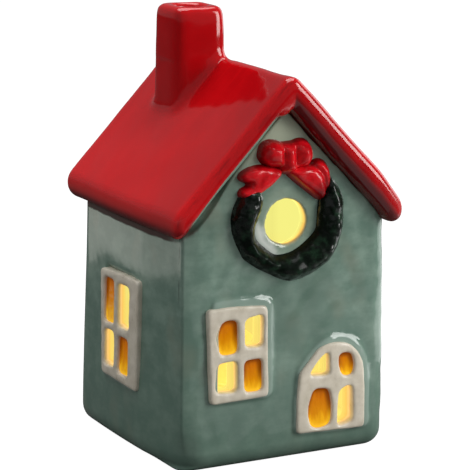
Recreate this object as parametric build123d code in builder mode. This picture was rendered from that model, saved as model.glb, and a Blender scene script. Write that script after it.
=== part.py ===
"""A glazed ceramic village house with a battery light in its floor.

Millimetres, +Z up. The house stands on z = 0 with its front gable facing -Y, and the
origin is in the middle of the footprint.
"""

import os
from math import cos, radians, sin, tan

from build123d import *

# Walls of the house, measured at the foot and leaning in by the draft of the mould
wall_width = 65.0
wall_depth = 62.2
wall_draft = 0.8
wall_thickness = 4.0
wall_corner_radius = 6.2
cavity_corner_radius = 3.0
foot_edge_radius = 5.4
floor_thickness = 4.0
foot_recess_depth = 1.8
foot_recess_gap = 1.2

# Roof
ridge_height = 104.7
roof_pitch = 46.4
roof_thickness = 7.0
roof_shell = 4.6
eave_overhang = 3.1
eave_cut_angle = 5.0
verge_overhang = 3.6
eave_radius = 5.0
verge_radius = 2.4
soffit_radius = 3.4
ridge_radius = 3.0

# Chimney on the left slope
chimney_x = -6.85
chimney_y = 11.5
chimney_width = 14.9
chimney_depth = 15.0
chimney_rise = 12.8
chimney_taper = 1.2
chimney_corner_radius = 2.6
chimney_top_radius = 1.4
flue_side = 7.0
flue_depth = 9.0
flue_corner_radius = 1.6

# Bow, hung below the ridge
bow_x = -0.8
bow_drop = 24.8
bow_seam_gap = 0.1
bow_loop_radius = 4.1
bow_loop_rise = 3.5
bow_loop_spacing = 8.8
bow_knot_width = 2.6
bow_knot_fall = 2.3
bow_knot_rise = 5.7
bow_knot_proud = 3.6
bow_knot_end_radius = 2.8
bow_tail_proud = 3.0
bow_tail_reach = 13.6
bow_tail_drop = 0.6
bow_tail_width = 6.8
bow_tail_notch = 1.8
bow_tail_root = 2.2
bow_tail_belly_reach = 6.3
bow_tail_belly_drop = 6.2
bow_tail_edge_radius = 0.8

# Wreath below the bow's seam, open at the top where the tails lie
wreath_drop = 13.7
wreath_radius = 13.0
wreath_tube_radius = 3.3
wreath_lump_radius = 4.0
wreath_lumps = 9
wreath_first_angle = 148.0
wreath_arc = 250.0

# Round window inside the wreath
round_window_drop = 1.2
round_window_radius = 6.1

# Window and door frames, pressed and set into shallow pockets in the walls
frame_proud = 1.3
frame_seat = 1.0
frame_corner_radius = 1.6
frame_edge_radius = 0.6
pane_corner_radius = 1.1
glaze_thickness = 1.5
glaze_gap = 0.05
front_window_x = -14.5
front_window_fall = 20.95
front_window_width = 17.8
front_window_height = 25.0
front_window_border = 2.3
front_window_mullion = 2.2
front_window_transom = 2.5
front_window_transom_drop = 0.4
side_window_y = 2.9
side_window_fall = 19.45
side_window_width = 19.2
side_window_height = 30.6
side_window_border = 2.0
side_window_rail = 3.4
side_window_mullion = 2.3
side_window_transom = 3.1
side_window_transom_drop = 0.7
arch_x = 13.4
arch_bottom = 7.0
arch_width = 21.0
arch_height = 24.4
arch_border = 3.2
arch_sill = 1.5
arch_crown = 2.4
arch_mullion = 2.4
arch_transom = 2.7
arch_transom_height = 13.6

# Coin cell and its compartment
cell_offset = 3.6
cell_radius = 10.0
cell_height = 3.2
cell_gap = 0.4
cell_lift = 0.3
cell_cap_inset = 1.4
cell_cap_step = 0.4
compartment_wall = 2.2
compartment_ceiling = 1.2
spring_room = 1.2

# Housing of the battery light, pushed into the floor from below
unit_margin = 0.6
unit_wall = 1.5
unit_floor = 1.6
unit_headroom = 4.6
flange_lip = 1.8
flange_thickness = 1.2
flange_gap = 0.1
gasket_thickness = 1.0
gasket_gap = 0.05
gasket_fit = 0.15
gasket_height = 2.6
gasket_lip_depth = 0.4
gasket_lip_height = 0.7

# Battery door and its captive screw
door_thickness = 1.4
door_gap = 0.25
door_lip = 1.0
door_seat_gap = 0.05
ear_radius = 2.9
boss_angle = 60.0
boss_standoff = 1.0
boss_radius = 2.6
boss_height = 6.0
screw_radius = 0.85
screw_length = 4.6
screw_head_radius = 1.8
screw_head_height = 0.7
screw_head_inset = 0.1
screw_fit = 0.08
screw_clearance = 0.25
screw_seat_gap = 0.05
screw_slot_width = 0.5
screw_slot_depth = 0.35

# Circuit board and its screws
board_gap = 0.5
board_thickness = 1.0
board_post_height = 1.6
board_post_radius = 2.2
board_post_y = 8.4
board_screw_radius = 0.9
board_screw_length = 3.2
board_screw_head_radius = 1.8
board_screw_head_height = 1.1
board_screw_fit = 0.05

# Lamp and resistor
led_radius = 2.5
led_rim_radius = 2.9
led_rim_height = 1.0
led_height = 8.6
lead_radius = 0.25
lead_gap = 0.05
lead_spacing = 2.54
lead_tail = 0.6
resistor_length = 3.2
resistor_width = 1.6
resistor_height = 0.6
resistor_x = 6.5
resistor_y = -6.0

# Slide switch, which reaches through the housing's floor
switch_gap = 1.2
switch_length = 8.6
switch_width = 3.6
switch_height = 3.6
switch_lip = 0.7
switch_pin_side = 0.5
switch_pin_pitch = 2.5
switch_pins = 3
slider_length = 2.2
slider_width = 1.5
slider_travel = 2.0
slider_gap = 0.15
slider_proud = 0.3
slider_plate_margin = 0.5
slider_plate_thickness = 0.8

# Contact strips
contact_thickness = 0.3
contact_width = 4.0
contact_gap = 0.05
contact_slot_gap = 0.3
contact_bend_radius = 0.4
spring_root = 6.0
spring_flat = 4.0
spring_slope = 4.0
spring_tip = 1.5
spring_tip_rise = 0.5

# Cover and diffuser over the lamp
cover_thickness = 1.2
cover_edge_radius = 0.5
skirt_height = 2.0
skirt_thickness = 0.9
skirt_gap = 0.1
dome_radius = 9.0
dome_wall = 1.0
dome_straight = 4.5
dome_rim = 2.0
dome_rim_thickness = 1.0
dome_gap = 0.1

os.makedirs("parts", exist_ok=True)

# Heights and lengths that follow from the sizes above
slope = tan(radians(roof_pitch))
eave_x = wall_width / 2 + eave_overhang
eave_height = ridge_height - eave_x * slope
underside_ridge = ridge_height - roof_thickness / cos(radians(roof_pitch))
hollow_ridge = ridge_height - roof_shell / cos(radians(roof_pitch))
mid_roof_ridge = (ridge_height + underside_ridge) / 2
chimney_top = ridge_height + chimney_rise
front_window_z = ridge_height / 2 - front_window_fall
side_window_z = ridge_height / 2 - side_window_fall
bow_seam_height = ridge_height - bow_drop
bow_loop_height = bow_seam_height + bow_loop_rise
bow_knot_low = bow_seam_height - bow_knot_fall
bow_knot_high = bow_seam_height + bow_knot_rise
wreath_height = bow_seam_height - wreath_drop
round_window_height = wreath_height - round_window_drop
compartment_radius = cell_radius + cell_gap
compartment_outer = compartment_radius + compartment_wall
unit_radius = compartment_outer + cell_offset + unit_margin
unit_inner = unit_radius - unit_wall
socket_radius = unit_radius + gasket_gap + gasket_thickness + gasket_fit
flange_radius = socket_radius + flange_lip
floor_top = foot_recess_depth + floor_thickness
flange_top = foot_recess_depth - flange_gap
unit_bottom = flange_top - flange_thickness
unit_floor_top = unit_bottom + unit_floor
door_top = unit_bottom + door_thickness
door_seat = door_top + door_seat_gap
cell_x = -cell_offset
cell_bottom = door_top + cell_lift
cell_top = cell_bottom + cell_height
ceiling_bottom = cell_top + spring_room
ceiling_top = ceiling_bottom + compartment_ceiling
board_bottom = ceiling_top + board_post_height
board_top = board_bottom + board_thickness
unit_top = board_top + unit_headroom
cover_top = unit_top + cover_thickness
boss_distance = compartment_outer + boss_standoff
boss_x = cell_x + boss_distance * cos(radians(boss_angle))
boss_y = boss_distance * sin(radians(boss_angle))
switch_x = cell_x + compartment_outer + switch_gap + switch_width / 2
standing = (Align.CENTER, Align.CENTER, Align.MIN)

# Outward-facing planes of the walls, with local Y pointing up the wall
draft = radians(wall_draft)
front_wall = Plane((0, -wall_depth / 2, 0), x_dir=(1, 0, 0), z_dir=(0, -cos(draft), sin(draft)))
left_wall = Plane((-wall_width / 2, 0, 0), x_dir=(0, -1, 0), z_dir=(-cos(draft), 0, sin(draft)))
right_wall = Plane((wall_width / 2, 0, 0), x_dir=(0, 1, 0), z_dir=(cos(draft), 0, sin(draft)))


def on_wall(wall, x, z):
    """The wall's plane with its origin moved to a point of the wall at height z."""
    origin = wall.from_local_coords((x, z / cos(draft), 0))
    return Plane(origin, x_dir=wall.x_dir, z_dir=wall.z_dir)


def lean(height):
    """How far the walls have leaned in at a height."""
    return height * tan(draft)


def above_roof_line(ridge):
    """Everything above two roof lines that meet at a ridge of this height."""
    with BuildSketch(Plane.XZ) as above:
        with BuildLine():
            Polyline(
                (0, ridge),
                (wall_width, ridge - wall_width * slope),
                (wall_width, 2 * ridge),
                (-wall_width, 2 * ridge),
                (-wall_width, ridge - wall_width * slope),
                close=True,
            )
        make_face()
    return above.sketch


def arch_shape(width, bottom, top):
    """A round-headed opening standing on the local X axis."""
    side = width / 2
    with BuildSketch() as arch:
        with BuildLine():
            Polyline((-side, top - side), (-side, bottom), (side, bottom), (side, top - side))
            ThreePointArc((side, top - side), (0, top), (-side, top - side))
        make_face()
    return arch.sketch


def four_panes(inside, mullion, transom, transom_height):
    """The pane outlines inside a frame, on its rising and its falling diagonal."""
    reach = 4 * inside.bounding_box().diagonal
    with BuildSketch() as panes:
        add(inside)
        Rectangle(mullion, reach, mode=Mode.SUBTRACT)
        with Locations((0, transom_height)):
            Rectangle(reach, transom, mode=Mode.SUBTRACT)
        fillet(panes.vertices(), pane_corner_radius)
    from_left = panes.faces().sort_by(Axis.X)
    bottom_left, top_left = from_left[:2].sort_by(Axis.Y)
    bottom_right, top_right = from_left[2:].sort_by(Axis.Y)
    return {"rising": [bottom_left, top_right], "falling": [top_left, bottom_right]}


def press_frame(place, outline, panes):
    """A raised frame seated in its pocket, with all four panes cut through."""
    with BuildPart() as frame:
        with BuildSketch(place.offset(-frame_seat)):
            add(outline)
        extrude(amount=frame_seat + frame_proud)
        outward = Axis(place.origin, place.z_dir)
        fillet(frame.faces().sort_by(outward)[-1].edges(), frame_edge_radius)
        with BuildSketch(place.offset(-frame_seat)):
            for diagonal in panes.values():
                add(diagonal)
        extrude(amount=frame_seat + frame_proud, mode=Mode.SUBTRACT)
    return frame


def fill_panes(place, panes):
    """Slugs of coloured glaze lying in the blind panes of a frame."""
    with BuildPart() as glaze:
        with BuildSketch(place.offset(-frame_seat)):
            add(panes)
            offset(amount=-glaze_gap, mode=Mode.REPLACE)
        extrude(amount=glaze_thickness)
    return glaze


# Outlines of the frames and their panes
with BuildSketch() as front_window_outline:
    RectangleRounded(front_window_width, front_window_height, frame_corner_radius)
with BuildSketch() as front_window_inside:
    Rectangle(front_window_width - 2 * front_window_border, front_window_height - 2 * front_window_border)
with BuildSketch() as side_window_outline:
    RectangleRounded(side_window_width, side_window_height, frame_corner_radius)
with BuildSketch() as side_window_inside:
    Rectangle(side_window_width - 2 * side_window_border, side_window_height - 2 * side_window_rail)
with BuildSketch() as arch_outline:
    add(arch_shape(arch_width, 0, arch_height))
    fillet(arch_outline.vertices().group_by(Axis.Y)[0], frame_corner_radius)
arch_inside = arch_shape(arch_width - 2 * arch_border, arch_sill, arch_height - arch_crown)

front_panes = four_panes(
    front_window_inside.sketch, front_window_mullion, front_window_transom, -front_window_transom_drop
)
side_panes = four_panes(
    side_window_inside.sketch, side_window_mullion, side_window_transom, -side_window_transom_drop
)
arch_panes = four_panes(arch_inside, arch_mullion, arch_transom, arch_transom_height)

# Each window's place on the wall, outline, panes, and which diagonal is open and which blind
front_place = on_wall(front_wall, front_window_x, front_window_z)
left_place = on_wall(left_wall, -side_window_y, side_window_z)
right_place = on_wall(right_wall, side_window_y, side_window_z)
arch_place = on_wall(front_wall, arch_x, arch_bottom)
windows = {
    "front_window": (front_place, front_window_outline.sketch, front_panes, "rising", "falling"),
    "left_window": (left_place, side_window_outline.sketch, side_panes, "rising", "falling"),
    "right_window": (right_place, side_window_outline.sketch, side_panes, "falling", "rising"),
    "arched_door": (arch_place, arch_outline.sketch, arch_panes, "falling", "rising"),
}

# Roof: two slabs in one, hollowed on the inside
with BuildPart() as roof:
    with BuildSketch(Plane.XZ):
        with BuildLine():
            cut_length = roof_thickness / cos(radians(eave_cut_angle))
            cut_turn = radians(roof_pitch - eave_cut_angle)
            inner_x = eave_x - cut_length * sin(cut_turn)
            inner_z = eave_height - cut_length * cos(cut_turn)
            Polyline(
                (0, ridge_height),
                (eave_x, eave_height),
                (inner_x, inner_z),
                (0, underside_ridge),
                (-inner_x, inner_z),
                (-eave_x, eave_height),
                close=True,
            )
        make_face()
    extrude(amount=wall_depth / 2 + verge_overhang, both=True)
    sloping_faces = roof.faces().filter_by(Axis.Y, reverse=True)
    soffits = sloping_faces.filter_by(lambda face: face.center().X * face.normal_at().X < 0)
    fillet(soffits.edges().filter_by(Axis.Y, reverse=True), soffit_radius)
    fillet(roof.edges().filter_by(Axis.Y).group_by(Axis.Z)[-1], ridge_radius)
    fillet(roof.edges().filter_by(Axis.Y).group_by(Axis.Z)[1], eave_radius)
    gable_edges = roof.faces().filter_by(Axis.Y).edges()
    fillet(gable_edges.filter_by(GeomType.LINE).group_by(Axis.Z)[-1], verge_radius)
    with BuildSketch(Plane.XZ):
        with BuildLine():
            hollow_x = wall_width / 2 - wall_thickness - lean(eave_height)
            Polyline(
                (0, hollow_ridge),
                (hollow_x, hollow_ridge - hollow_x * slope),
                (hollow_x, underside_ridge - hollow_x * slope),
                (0, underside_ridge),
                (-hollow_x, underside_ridge - hollow_x * slope),
                (-hollow_x, hollow_ridge - hollow_x * slope),
                close=True,
            )
        make_face()
    extrude(amount=wall_depth / 2 - wall_thickness - lean(ridge_height), both=True, mode=Mode.SUBTRACT)

# Walls: a cast shell with a floor, a recessed foot and a socket for the light
with BuildPart() as house_walls:
    with BuildSketch():
        RectangleRounded(wall_width, wall_depth, wall_corner_radius)
    extrude(amount=ridge_height, taper=wall_draft)
    fillet(house_walls.faces().sort_by(Axis.Z)[0].edges(), foot_edge_radius)
    cavity_inset = wall_thickness + lean(floor_top)
    with BuildSketch(Plane.XY.offset(floor_top)):
        RectangleRounded(
            wall_width - 2 * cavity_inset, wall_depth - 2 * cavity_inset, cavity_corner_radius
        )
    extrude(amount=ridge_height, taper=wall_draft, mode=Mode.SUBTRACT)
    Cylinder(flange_radius + foot_recess_gap, foot_recess_depth, align=standing, mode=Mode.SUBTRACT)
    Hole(socket_radius)
    extrude(above_roof_line(mid_roof_ridge), amount=wall_depth, both=True, mode=Mode.SUBTRACT)
    add(roof.part, mode=Mode.SUBTRACT)
    with BuildSketch(on_wall(front_wall, 0, round_window_height)):
        Circle(round_window_radius)
    extrude(amount=-2 * wall_thickness, mode=Mode.SUBTRACT)
    for place, outline, panes, open_diagonal, _ in windows.values():
        with BuildSketch(place):
            add(outline)
        extrude(amount=-frame_seat, mode=Mode.SUBTRACT)
        with BuildSketch(place):
            add(panes[open_diagonal])
        extrude(amount=-2 * wall_thickness, mode=Mode.SUBTRACT)

# Chimney: a tapered stack cut to the roof, with a flue in its top
with BuildPart() as chimney:
    with BuildSketch(Plane((chimney_x, chimney_y, chimney_top))):
        RectangleRounded(chimney_width, chimney_depth, chimney_corner_radius)
    extrude(amount=eave_height - chimney_top, taper=-chimney_taper)
    fillet(chimney.faces().sort_by(Axis.Z)[-1].edges(), chimney_top_radius)
    with BuildSketch(Plane((chimney_x, chimney_y, chimney_top))):
        RectangleRounded(flue_side, flue_side, flue_corner_radius)
    extrude(amount=-flue_depth, mode=Mode.SUBTRACT)
    extrude(above_roof_line(mid_roof_ridge), amount=wall_depth, both=True, mode=Mode.INTERSECT)
    add(roof.part, mode=Mode.SUBTRACT)


def tail_outline(side):
    """A ribbon tail with a notched end, from the knot to the left (-1) or right (1)."""
    root = bow_knot_width / 2 + bow_seam_gap
    top = bow_seam_height - bow_seam_gap
    end = top - bow_tail_drop
    points = [
        (root, top),
        (bow_tail_reach, end),
        (bow_tail_reach - bow_tail_notch, end - bow_tail_width / 2),
        (bow_tail_reach, end - bow_tail_width),
        (bow_tail_belly_reach, top - bow_tail_belly_drop),
        (root, top - bow_tail_root),
    ]
    with BuildSketch() as outline:
        with BuildLine():
            Polyline([(bow_x + side * x, z) for x, z in points], close=True)
        make_face()
    return outline.sketch


tail_outlines = {-1: tail_outline(-1), 1: tail_outline(1)}
under_verge = above_roof_line(underside_ridge - bow_seam_gap / cos(radians(roof_pitch)))

# Wreath: a half-round ring of pressed lumps, cut clear of the tails
wreath_place = on_wall(front_wall, 0, wreath_height)
with BuildPart() as wreath:
    outward = wreath_place.z_dir
    spoke = wreath_place.x_dir.rotate(Axis((0, 0, 0), outward), wreath_first_angle)
    with BuildSketch(Plane(wreath_place.origin, x_dir=spoke, z_dir=spoke.cross(outward))):
        with Locations((wreath_radius, 0)):
            Circle(wreath_tube_radius)
    revolve(axis=Axis(wreath_place.origin, outward), revolution_arc=wreath_arc)
    with Locations(wreath_place):
        first_lump = wreath_first_angle + wreath_arc / wreath_lumps / 2
        with PolarLocations(wreath_radius, wreath_lumps, first_lump, wreath_arc):
            Sphere(wreath_lump_radius)
    split(bisect_by=wreath_place, keep=Keep.TOP)
    with BuildSketch(front_wall):
        add(list(tail_outlines.values()))
        offset(amount=bow_seam_gap, mode=Mode.REPLACE)
    extrude(amount=2 * wreath_lump_radius, mode=Mode.SUBTRACT)
    extrude(under_verge, amount=wall_depth, both=True, mode=Mode.SUBTRACT)


def bow_loop(side):
    """A puffed loop beside the knot, flat where it meets the wall, the knot and a tail."""
    knot_side = bow_x + side * (bow_knot_width / 2 + bow_seam_gap)
    with BuildPart() as loop:
        with Locations(on_wall(front_wall, bow_x + side * bow_loop_spacing / 2, bow_loop_height)):
            Sphere(bow_loop_radius)
        split(bisect_by=front_wall, keep=Keep.TOP)
        split(bisect_by=Plane.XY.offset(bow_seam_height), keep=Keep.TOP)
        split(bisect_by=Plane((knot_side, 0, 0), z_dir=(side, 0, 0)), keep=Keep.TOP)
        extrude(under_verge, amount=wall_depth, both=True, mode=Mode.SUBTRACT)
    return loop


def bow_tail(side):
    """A flat ribbon tail on the wall with a softened front edge."""
    with BuildPart() as tail:
        with BuildSketch(front_wall):
            add(tail_outlines[side])
        extrude(amount=bow_tail_proud)
        outermost = tail.faces().sort_by(Axis(front_wall.origin, front_wall.z_dir))[-1]
        fillet(outermost.edges(), bow_tail_edge_radius)
        extrude(under_verge, amount=wall_depth, both=True, mode=Mode.SUBTRACT)
    return tail


bow_left_loop = bow_loop(-1)
bow_right_loop = bow_loop(1)
bow_left_tail = bow_tail(-1)
bow_right_tail = bow_tail(1)

# Knot: a rounded band between the loops
with BuildPart() as bow_knot:
    knot_height = bow_knot_high - bow_knot_low
    with BuildSketch(on_wall(front_wall, bow_x, bow_knot_low + knot_height / 2)):
        Rectangle(bow_knot_width, knot_height)
    extrude(amount=bow_knot_proud)
    outermost = bow_knot.faces().sort_by(Axis(front_wall.origin, front_wall.z_dir))[-1]
    fillet(outermost.edges().filter_by(Axis.X), bow_knot_end_radius)

frames = {name: press_frame(place, outline, panes) for name, (place, outline, panes, *_) in windows.items()}
glazes = {
    name: fill_panes(place, panes[blind_diagonal])
    for name, (place, _, panes, _, blind_diagonal) in windows.items()
}

# Outline of the battery door: a disc under the cell with an ear for its screw
with BuildSketch() as door_outline:
    with Locations((cell_x, 0)):
        Circle(compartment_radius + door_lip)
    with Locations((boss_x, boss_y)):
        Circle(ear_radius)
    make_hull()

# Housing: a flanged cup with the cell's compartment, board posts and switch slot
with BuildPart() as unit_housing:
    with Locations((0, 0, unit_bottom)):
        Cylinder(flange_radius, flange_thickness, align=standing)
        Cylinder(unit_radius, unit_top - unit_bottom, align=standing)
    with Locations((0, 0, unit_floor_top)):
        Cylinder(unit_inner, unit_top - unit_floor_top, align=standing, mode=Mode.SUBTRACT)
    with BuildSketch(Plane.XY.offset(unit_bottom)):
        add(door_outline.sketch)
        offset(amount=door_gap, mode=Mode.REPLACE)
    extrude(amount=unit_floor, mode=Mode.SUBTRACT)
    with Locations((cell_x, 0, door_seat)):
        Cylinder(compartment_outer, ceiling_top - door_seat, align=standing)
    with Locations((boss_x, boss_y, door_seat)):
        Cylinder(boss_radius, boss_height, align=standing)
    with Locations((cell_x, board_post_y, ceiling_top), (cell_x, -board_post_y, ceiling_top)):
        Cylinder(board_post_radius, board_post_height, align=standing)
    with Locations((cell_x, 0, door_seat)):
        Cylinder(compartment_radius, ceiling_bottom - door_seat, align=standing, mode=Mode.SUBTRACT)
    with Locations((boss_x, boss_y, door_seat)):
        Cylinder(screw_radius + screw_fit, boss_height, align=standing, mode=Mode.SUBTRACT)
    with Locations((cell_x, board_post_y, board_bottom), (cell_x, -board_post_y, board_bottom)):
        Hole(board_screw_radius + board_screw_fit, board_screw_length - board_thickness)
    with Locations((switch_x, 0, unit_bottom)):
        Box(
            slider_width + 2 * slider_gap,
            slider_length + slider_travel + 2 * slider_gap,
            unit_floor,
            align=standing,
            mode=Mode.SUBTRACT,
        )
    slot_thickness = contact_thickness + 2 * contact_slot_gap
    slot_width = contact_width + 2 * contact_slot_gap
    positive_x = cell_x + cell_radius + contact_gap + contact_thickness / 2
    negative_x = cell_x - spring_root
    with Locations((positive_x, 0, door_seat)):
        Box(slot_thickness, slot_width, ceiling_top - door_seat, align=standing, mode=Mode.SUBTRACT)
    with Locations((negative_x, 0, ceiling_bottom)):
        Box(slot_thickness, slot_width, compartment_ceiling, align=standing, mode=Mode.SUBTRACT)

# Gasket: a silicone band with two lips that grip the ceramic socket
with BuildPart() as socket_gasket:
    band_inner = unit_radius + gasket_gap
    band_outer = band_inner + gasket_thickness
    band_low = foot_recess_depth + (floor_thickness - gasket_height) / 2
    with BuildSketch(Plane.XZ):
        with Locations((band_inner, band_low)):
            Rectangle(gasket_thickness - gasket_lip_depth, gasket_height, align=(Align.MIN, Align.MIN))
        for lip_low in (band_low, band_low + gasket_height - gasket_lip_height):
            with Locations((band_outer, lip_low)):
                Rectangle(gasket_thickness, gasket_lip_height, align=(Align.MAX, Align.MIN))
    revolve(axis=Axis.Z)

# Cover: closes the cup and carries the diffuser
with BuildPart() as top_cover:
    skirt_outer = unit_inner - skirt_gap
    with Locations((0, 0, unit_top)):
        Cylinder(unit_radius, cover_thickness, align=standing)
    with Locations((0, 0, unit_top - skirt_height)):
        Cylinder(skirt_outer, skirt_height, align=standing)
        Cylinder(skirt_outer - skirt_thickness, skirt_height, align=standing, mode=Mode.SUBTRACT)
    Hole(dome_radius + dome_gap)
    cover_rims = top_cover.edges().filter_by(GeomType.CIRCLE).group_by(Axis.Z)[-1]
    fillet(cover_rims.sort_by(SortBy.RADIUS)[-1], cover_edge_radius)

# Diffuser: a frosted dome with a rim under the cover
with BuildPart() as diffuser_dome:
    dome_base = unit_top - dome_rim_thickness
    dome_centre = cover_top + dome_straight
    dome_inner = dome_radius - dome_wall
    with BuildSketch(Plane.XZ):
        with BuildLine():
            Polyline(
                (dome_inner, dome_centre),
                (dome_inner, dome_base),
                (dome_radius + dome_rim, dome_base),
                (dome_radius + dome_rim, unit_top),
                (dome_radius, unit_top),
                (dome_radius, dome_centre),
            )
            CenterArc((0, dome_centre), dome_radius, 0, 90)
            Line((0, dome_centre + dome_radius), (0, dome_centre + dome_inner))
            CenterArc((0, dome_centre), dome_inner, 0, 90)
        make_face()
    revolve(axis=Axis.Z)

# Circuit board
lead_places = [(-lead_spacing / 2, 0), (lead_spacing / 2, 0)]
board_screw_places = [(cell_x, board_post_y), (cell_x, -board_post_y)]
with BuildPart() as circuit_board:
    with BuildSketch(Plane.XY.offset(board_bottom)):
        Circle(unit_inner - board_gap)
        with Locations(*lead_places):
            Circle(lead_radius + lead_gap, mode=Mode.SUBTRACT)
        with Locations(*board_screw_places):
            Circle(board_screw_radius + board_screw_fit, mode=Mode.SUBTRACT)
    extrude(amount=board_thickness)

# Lamp: a round 5 mm light-emitting diode with its two leads
with BuildPart() as led:
    with Locations((0, 0, board_top)):
        Cylinder(led_rim_radius, led_rim_height, align=standing)
        Cylinder(led_radius, led_height - led_radius, align=standing)
    with Locations((0, 0, board_top + led_height - led_radius)):
        Sphere(led_radius)
with BuildPart() as led_leads:
    with BuildSketch(Plane.XY.offset(board_bottom - lead_tail)):
        with Locations(*lead_places):
            Circle(lead_radius)
    extrude(amount=board_thickness + lead_tail)

# Resistor on the board
with BuildPart() as resistor:
    with Locations((resistor_x, resistor_y, board_top)):
        Box(resistor_length, resistor_width, resistor_height, align=standing)

# Screws that hold the board to its posts
with BuildPart() as board_screws:
    with BuildSketch(Plane.XY.offset(board_top - board_screw_length)):
        with Locations(*board_screw_places):
            Circle(board_screw_radius)
    extrude(amount=board_screw_length)
    with BuildSketch(Plane.XY.offset(board_top)):
        with Locations(*board_screw_places):
            Circle(board_screw_head_radius)
    extrude(amount=board_screw_head_height)
    with BuildSketch(Plane.XY.offset(board_top + board_screw_head_height)):
        with Locations(*board_screw_places):
            Rectangle(2 * board_screw_head_radius, screw_slot_width)
    extrude(amount=-screw_slot_depth, mode=Mode.SUBTRACT)

# Slide switch with its pins, and a pocket that keeps the slider in
plate_low = unit_floor_top + switch_lip + slider_gap
slot_length = slider_length + slider_travel + 2 * slider_gap
with BuildPart() as switch_body:
    with Locations((switch_x, 0, unit_floor_top)):
        Box(switch_width, switch_length, switch_height, align=standing)
        Box(slider_width + 2 * slider_gap, slot_length, switch_lip, align=standing, mode=Mode.SUBTRACT)
    with Locations((switch_x, 0, unit_floor_top + switch_lip)):
        Box(
            slider_width + 2 * (slider_plate_margin + slider_gap),
            slot_length + 2 * slider_plate_margin,
            slider_plate_thickness + 2 * slider_gap,
            align=standing,
            mode=Mode.SUBTRACT,
        )
    switch_top = unit_floor_top + switch_height
    with Locations(Plane((switch_x, 0, switch_top))):
        with GridLocations(1, switch_pin_pitch, 1, switch_pins):
            Box(switch_pin_side, switch_pin_side, board_bottom - switch_top, align=standing)

# Slider, at rest in its ON place
with BuildPart() as switch_slider:
    slider_y = slider_travel / 2
    slider_bottom = unit_bottom - slider_proud
    with Locations((switch_x, slider_y, slider_bottom)):
        Box(slider_width, slider_length, plate_low - slider_bottom, align=standing)
    with Locations((switch_x, slider_y, plate_low)):
        Box(
            slider_width + 2 * slider_plate_margin,
            slider_length + 2 * slider_plate_margin,
            slider_plate_thickness,
            align=standing,
        )

# Coin cell: a can with a slightly smaller cap on top
with BuildPart() as coin_cell:
    with Locations((cell_x, 0, cell_bottom)):
        Cylinder(cell_radius, cell_height - cell_cap_step, align=standing)
        Cylinder(cell_radius - cell_cap_inset, cell_height, align=standing)

# Contacts: a strip at the cell's side and a leaf spring on its cap, both soldered to the board
with BuildPart() as positive_contact:
    with Locations((positive_x, 0, cell_bottom)):
        Box(contact_thickness, contact_width, board_bottom - cell_bottom, align=standing)
with BuildPart() as negative_contact:
    leaf_high = ceiling_bottom - contact_thickness / 2
    leaf_low = cell_top + contact_gap + contact_thickness / 2
    flat_end = negative_x + spring_flat
    touch_x = flat_end + spring_slope
    with BuildSketch(Plane.XZ):
        with BuildLine():
            FilletPolyline(
                (negative_x, board_bottom),
                (negative_x, leaf_high),
                (flat_end, leaf_high),
                (touch_x, leaf_low),
                (touch_x + spring_tip, leaf_low + spring_tip_rise),
                radius=contact_bend_radius,
            )
        trace(line_width=contact_thickness)
    extrude(amount=contact_width / 2, both=True)

# Battery door, flush with the flange, with a recess for the screw's head
with BuildPart() as battery_door:
    with BuildSketch(Plane.XY.offset(unit_bottom)):
        add(door_outline.sketch)
    extrude(amount=door_thickness)
    head_recess = screw_head_inset + screw_head_height + screw_seat_gap
    with Locations((boss_x, boss_y, unit_bottom)):
        Cylinder(screw_head_radius + screw_clearance, head_recess, align=standing, mode=Mode.SUBTRACT)
        Cylinder(screw_radius + screw_clearance, door_thickness, align=standing, mode=Mode.SUBTRACT)

# Door screw with a crossed slot in its head
with BuildPart() as door_screw:
    head_bottom = unit_bottom + screw_head_inset
    with Locations((boss_x, boss_y, head_bottom)):
        Cylinder(screw_head_radius, screw_head_height, align=standing)
        Cylinder(screw_radius, screw_head_height + screw_length, align=standing)
        Box(screw_slot_width, screw_head_radius, screw_slot_depth, align=standing, mode=Mode.SUBTRACT)
        Box(screw_head_radius, screw_slot_width, screw_slot_depth, align=standing, mode=Mode.SUBTRACT)

pieces = {
    "house_walls": house_walls,
    "roof": roof,
    "chimney": chimney,
    "wreath": wreath,
    "bow_left_loop": bow_left_loop,
    "bow_right_loop": bow_right_loop,
    "bow_knot": bow_knot,
    "bow_left_tail": bow_left_tail,
    "bow_right_tail": bow_right_tail,
    **{f"{name}_frame": frame for name, frame in frames.items()},
    **{f"{name}_glaze": glaze for name, glaze in glazes.items()},
    "unit_housing": unit_housing,
    "socket_gasket": socket_gasket,
    "top_cover": top_cover,
    "diffuser_dome": diffuser_dome,
    "circuit_board": circuit_board,
    "led": led,
    "led_leads": led_leads,
    "resistor": resistor,
    "board_screws": board_screws,
    "switch_body": switch_body,
    "switch_slider": switch_slider,
    "coin_cell": coin_cell,
    "positive_contact": positive_contact,
    "negative_contact": negative_contact,
    "battery_door": battery_door,
    "door_screw": door_screw,
}
for name, piece in pieces.items():
    piece.part.label = name
    export_step(piece.part, f"parts/{name}.step")
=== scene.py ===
from math import cos, pi, radians, sin, tan

import bmesh
import bpy
import numpy as np
from mathutils import Matrix, Vector


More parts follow.
